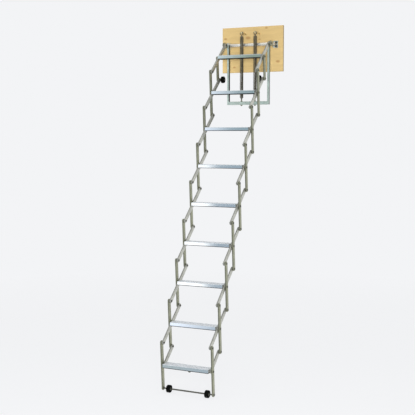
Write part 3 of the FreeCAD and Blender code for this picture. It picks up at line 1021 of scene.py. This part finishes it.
class LADDER_OT_wall_mount(bpy.types.Operator):
    """Finishes the plywood board, its axle brackets with their bolts, and the spring pegs"""
    bl_idname = "ladder.wall_mount"
    bl_label = "Wall Mount"

    def execute(self, context):
        sizes = context.scene.ladder_sizes
        metals = finishes()
        paint("mounting_board", metals["plywood"])
        paint("wall_brackets", metals["bracket_zinc"])
        self.pegs(sizes, metals["peg_zinc"])
        low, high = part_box("wall_brackets")
        board_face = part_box("mounting_board")[0].y
        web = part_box("frame_legs")[1].x
        flange_middle = (web + high.x) / 2
        flange_face = board_face - BRACKET_PLATE
        points = []
        for side in (-1, 1):
            for share in BRACKET_HEIGHTS:
                z = low.z + share * (high.z - low.z)
                points.append(((side * (flange_middle + BRACKET_PLATE), flange_face, z), (0, -1, 0), 0.0))
        values = {"Head Radius": sizes.head_radius * BRACKET_HEAD, "Head Height": sizes.head_height}
        mesh = bracket_bolt_tree(metals["bolt_zinc"]).grow("bracket_bolts", values, points)
        add_piece("bracket_bolts", mesh, metals["bolt_zinc"], "wall_mount", "frame_zinc")
        return {"FINISHED"}

    def pegs(self, sizes, metal):
        """Turned pegs with a flange on the board and a groove for the spring loop."""
        low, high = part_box("spring_pegs")
        flange = (high.z - low.z) / 2
        peg = pivot("spring_left_swing")
        groove = sizes.loop_wire / 2 + SHAKE
        pin = sizes.pin_radius
        rim = pin + sizes.loop_wire / 2
        edge = BRACKET_PLATE * PLATE_BEVEL
        front = high.y - BRACKET_PLATE
        profile = [(high.y, flange), (front + edge, flange), (front, flange - edge), (front, rim),
                   (peg.y + groove, rim), (peg.y + groove, pin), (peg.y - groove, pin),
                   (peg.y - groove, rim), (low.y + edge, rim), (low.y, rim - edge)]
        shape = bmesh.new()
        for side in SIDES:
            x = (SPRING_BOX[side][0].x + SPRING_BOX[side][1].x) / 2
            turn(shape, profile, Vector((x, 0.0, peg.z)), axis=1, count=32)
        add_shape("turned_pegs", shape, metal, "wall_mount", "frame_zinc", ["spring_pegs"])


# A wheel's half section as shares of its half width and its radius, and how far a foot wheel's tyre spreads
TYRE = ((0.0, 1.0), (0.10, 0.965), (0.16, 0.965), (0.26, 1.0), (0.72, 1.0), (0.88, 0.985), (0.97, 0.945),
        (1.0, 0.90), (1.0, 0.80), (0.97, 0.775))
HUB = ((0.78, 0.75), (0.76, 0.50), (0.80, 0.465), (0.97, 0.44), (1.0, 0.41), (1.0, 0.24))
TYRE_SPREAD = 1.34


class LADDER_OT_wheels(bpy.types.Operator):
    """Turns the black rollers of the first rear pivot, the foot wheels and the foot rod"""
    bl_idname = "ladder.wheels"
    bl_label = "Rollers and Wheels"

    def execute(self, context):
        metals = finishes()
        for name, spread in (("top_roller", 1.0), ("bottom_wheel", TYRE_SPREAD)):
            for side in SIDES:
                self.wheel(f"{name}_{side}", metals["rubber"], spread)
        self.foot_rod(context.scene.ladder_sizes, metals["bolt_zinc"])
        return {"FINISHED"}

    def foot_rod(self, sizes, metal):
        """The foot rod, with collars beside the bars and the wheels."""
        low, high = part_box("bottom_rod")
        collar = (high.z - low.z) / 2
        wheel_low, wheel_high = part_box("bottom_wheel_right")
        bar_in = INNER_BAR_OUT + sizes.bar_gap
        edge = COLLAR_WIDTH * PLATE_BEVEL
        right = []
        for x0 in (wheel_low.x - SHAKE - COLLAR_WIDTH, wheel_high.x + SHAKE, bar_in - SHAKE - COLLAR_WIDTH,
                   high.x - COLLAR_WIDTH):
            x1 = x0 + COLLAR_WIDTH
            right += [(x0, ROD_RADIUS), (x0, collar - edge), (x0 + edge, collar), (x1 - edge, collar),
                      (x1, collar - edge), (x1, ROD_RADIUS)]
        right.pop()
        left = [(-x, radius) for x, radius in right[::-1]]
        shape = bmesh.new()
        turn(shape, left + right, rear_pivot(TREADS), count=32)
        add_shape("foot_rod", shape, metal, f"outer_bars_{TREADS}", "bar_zinc", ["bottom_rod"])

    def wheel(self, node, material, spread):
        """A moulded wheel with a rounded tyre, a groove, a dished side and a raised hub. The tyre's width is
        spread beyond the hub."""
        low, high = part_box(node)
        middle = (low + high) / 2
        radius = (high.z - low.z) / 2
        half = (high.x - low.x) / 2
        right = [(along * half * spread, share * radius) for along, share in TYRE]
        right += [(along * half, share * radius) for along, share in HUB]
        left = [(-along, across) for along, across in right[:0:-1]]
        shape = bmesh.new()
        turn(shape, left + right, middle, bored=True, count=64)
        add_shape("turned_" + node, shape, material, node, "wheel_rubber", [node])


class LADDER_OT_stage(bpy.types.Operator):
    """Sets the pale floor, the studio lights, the backdrop and the camera"""
    bl_idname = "ladder.stage"
    bl_label = "Stage"

    def execute(self, context):
        scene = context.scene
        scene.view_settings.view_transform = "Standard"
        backdrop = tuple(scene.ladder_finish.backdrop)
        self.world(scene, backdrop)
        self.floor(scene, backdrop)
        for name, place, aim, size, power in LAMPS:
            self.lamp(scene, name, place, aim, size, power)
        for name, corners, fade, left, right in CARDS:
            self.card(scene, name, corners, fade, left, right)
        self.camera(scene)
        return {"FINISHED"}

    def world(self, scene, backdrop):
        """The backdrop as seen by the camera and in reflections, and a softer fill for everything else."""
        scene.world = bpy.data.worlds.new("studio")
        scene.world.use_nodes = True
        sky = NodeTree(scene.world.node_tree)
        sky.tree.nodes.clear()
        path = sky.add("ShaderNodeLightPath").outputs
        seen = sky.math("MAXIMUM", path["Is Camera Ray"], path["Is Glossy Ray"])
        seen = sky.math("MAXIMUM", seen, path["Is Transmission Ray"])
        fill = sky.add("ShaderNodeBackground", {"Color": (1.0, 1.0, 1.0, 1.0), "Strength": FILL})
        shown = sky.add("ShaderNodeBackground", {"Color": (*backdrop, 1.0)})
        mix = sky.add("ShaderNodeMixShader", {"Fac": seen, 1: fill.outputs["Background"],
                                              2: shown.outputs["Background"]})
        sky.add("ShaderNodeOutputWorld", {"Surface": mix.outputs["Shader"]})

    def floor(self, scene, backdrop):
        """A disc that glows like the backdrop and fades into it towards its rim."""
        shape = bmesh.new()
        bmesh.ops.create_circle(shape, cap_ends=True, segments=96, radius=FLOOR_RADIUS)
        mesh = bpy.data.meshes.new("floor")
        shape.to_mesh(mesh)
        shape.free()
        middle = rear_pivot(TREADS)
        mesh.transform(Matrix.Translation((0.0, middle.y, FLOOR - SHAKE)))
        shader = Shader("floor")
        shader.set(Base_Color=(*FLOOR_TONE, 1.0), Roughness=0.9, Specular_IOR_Level=0.0)
        shader.set(Emission_Color=(*backdrop, 1.0), Emission_Strength=FLOOR_GLOW)
        away = shader.add("ShaderNodeVectorMath", {0: shader.coords(), 1: (0.0, middle.y, FLOOR)},
                          operation="DISTANCE")
        rim = shader.span(away.outputs["Value"], 0.0, 1.0, *FLOOR_FADE)
        clear = shader.add("ShaderNodeBsdfTransparent")
        fade = shader.add("ShaderNodeMixShader", {"Fac": rim, 1: shader.surface.outputs["BSDF"],
                                                  2: clear.outputs["BSDF"]})
        shader.show(fade.outputs["Shader"])
        mesh.materials.append(shader.material)
        piece = bpy.data.objects.new("floor", mesh)
        scene.collection.objects.link(piece)

    def card(self, scene, name, corners, fade, left, right):
        """A card that shows only in reflections, with its left colour fading into the right one."""
        mesh = bpy.data.meshes.new(name)
        mesh.from_pydata(corners, [], [(0, 1, 2, 3)])
        shader = Shader(name)
        across = shader.split(shader.coords())["X"]
        tone = shader.mix(shader.span(across, 0.0, 1.0, *fade), left, right)
        shader.show(shader.add("ShaderNodeEmission", {"Color": tone}).outputs["Emission"])
        mesh.materials.append(shader.material)
        piece = bpy.data.objects.new(name, mesh)
        piece.visible_camera = False
        piece.visible_diffuse = False
        piece.visible_shadow = False
        piece.visible_transmission = False
        scene.collection.objects.link(piece)

    def lamp(self, scene, name, place, aim, size, power):
        light = bpy.data.lights.new(name, "AREA")
        light.size = size
        light.energy = power
        holder = bpy.data.objects.new(name, light)
        holder.visible_glossy = name in SHINING
        holder.location = place
        holder.rotation_euler = (Vector(aim) - Vector(place)).to_track_quat("-Z", "Y").to_euler()
        scene.collection.objects.link(holder)

    def camera(self, scene):
        lens = bpy.data.cameras.new("camera")
        lens.lens = CAMERA_LENS
        lens.clip_end = CAMERA_SIGHT
        holder = bpy.data.objects.new("camera", lens)
        holder.location = CAMERA_PLACE
        holder.rotation_euler = [math.radians(angle) for angle in CAMERA_TURN]
        scene.collection.objects.link(holder)
        scene.camera = holder


# Lamps as name, place, aim, width and power, and those that show in reflections
LAMPS = (
    ("key", (-2.6, -4.6, 2.8), (0.0, -0.5, -0.8), 3.4, 25.0),
    ("front", (2.4, -6.0, -0.45), (0.0, -0.3, -0.6), 1.6, 270.0),
    ("top", (0.3, -0.8, 3.4), (0.0, -0.6, -1.0), 2.6, 30.0),
)
SHINING = ("top",)

# Colours of the cards
GREY_BLUE = (0.33, 0.42, 0.50)
GREY_GREEN = (0.235, 0.32, 0.25)
SLATE_BLUE = (0.275, 0.39, 0.445)
DOVE_GREY = (0.46, 0.54, 0.56)
MIST_BLUE = (0.70, 0.82, 0.84)
DARK_GREY = (0.10, 0.10, 0.085)
PALE_BLUE = (1.12, 1.20, 1.34)
BRIGHT = (1.6, 1.6, 1.58)

# Ends and seams of the cards in front of the ladder, and the height of those on the floor
LEFT = -3.2
RIGHT = -0.4
LOW = -2.3
LOW_SEAM = -0.95
HIGH_SEAM = -0.1
HIGH = 2.5
SLANT = (-1.44, -1.69)
ON_FLOOR = -2.29


def standing(low, high, lefts=(LEFT, LEFT), rights=(RIGHT, RIGHT), y=-4.0):
    """Corners of an upright card, with its left and right ends below and above."""
    return ((lefts[0], y, low), (rights[0], y, low), (rights[1], y, high), (lefts[1], y, high))


def lying(left, right, front, back):
    """Corners of a card on the floor."""
    return tuple((x, y, ON_FLOOR) for x, y in ((left, front), (right, front), (right, back), (left, back)))


# Cards as name, corners, the run of X over which the left colour fades into the right one, and both colours
CARDS = (
    ("fading_card_high", standing(HIGH_SEAM, HIGH), (-1.96, -1.52), MIST_BLUE, GREY_GREEN),
    ("fading_card_middle", standing(LOW_SEAM, HIGH_SEAM), (-1.96, -1.52), PALE_BLUE, SLATE_BLUE),
    ("grey_card_low", standing(LOW, LOW_SEAM, lefts=SLANT), (-1.70, -1.20), GREY_BLUE, GREY_BLUE),
    ("white_card", standing(LOW, LOW_SEAM, rights=SLANT), (-3.2, -1.44), BRIGHT, BRIGHT),
    ("fading_floor_card", lying(-1.3, RIGHT, -3.2, -2.3), (-1.05, -0.55), PALE_BLUE, GREY_BLUE),
    ("grey_floor_card", lying(-0.8, 0.1, -2.2, -1.4), (-0.4, 0.1), DOVE_GREY, GREY_BLUE),
    ("dark_wall_card", standing(-0.72, 0.5, (-0.35, -0.35), (0.13, 0.13), 0.03), (-0.35, 0.13),
     DARK_GREY, DARK_GREY),
)

# Light from all round, the floor's reach, fade and look, and the camera with its turn in degrees
FILL = 0.48
FLOOR_RADIUS = 7.0
FLOOR_FADE = (0.25 * FLOOR_RADIUS, 0.75 * FLOOR_RADIUS)
FLOOR_TONE = (0.15, 0.151, 0.153)
FLOOR_GLOW = 0.862
CAMERA_PLACE = (2.556, -6.066, -0.6215)
CAMERA_TURN = (85.28, 0.0, 25.78)
CAMERA_LENS = 76.64
CAMERA_SIGHT = 60.0


class LADDER_PT_panel(bpy.types.Panel):
    """Lists the pieces of the ladder in the order they are built"""
    bl_label = "Loft Ladder"
    bl_idname = "LADDER_PT_panel"
    bl_space_type = "VIEW_3D"
    bl_region_type = "UI"
    bl_category = "Ladder"

    def draw(self, context):
        for step in STEPS:
            self.layout.operator(step.bl_idname)
        for group in (context.scene.ladder_sizes, context.scene.ladder_finish):
            for name in group.bl_rna.properties.keys():
                if name not in ("rna_type", "name"):
                    self.layout.prop(group, name)


STEPS = (LADDER_OT_bars, LADDER_OT_bolts, LADDER_OT_treads, LADDER_OT_swing_frame, LADDER_OT_wall_mount,
         LADDER_OT_springs, LADDER_OT_wheels, LADDER_OT_stage)
CLASSES = (LadderSizes, LadderFinish, *STEPS, LADDER_PT_panel)


def register():
    for each in CLASSES:
        bpy.utils.register_class(each)
    bpy.types.Scene.ladder_sizes = bpy.props.PointerProperty(type=LadderSizes)
    bpy.types.Scene.ladder_finish = bpy.props.PointerProperty(type=LadderFinish)


def unregister():
    del bpy.types.Scene.ladder_finish
    del bpy.types.Scene.ladder_sizes
    for each in reversed(CLASSES):
        bpy.utils.unregister_class(each)


def main():
    register()
    bpy.ops.ladder.bars()
    bpy.ops.ladder.bolts()
    bpy.ops.ladder.treads()
    bpy.ops.ladder.swing_frame()
    bpy.ops.ladder.wall_mount()
    bpy.ops.ladder.springs()
    bpy.ops.ladder.wheels()
    bpy.ops.ladder.stage()


if __name__ == "__main__":
    main()
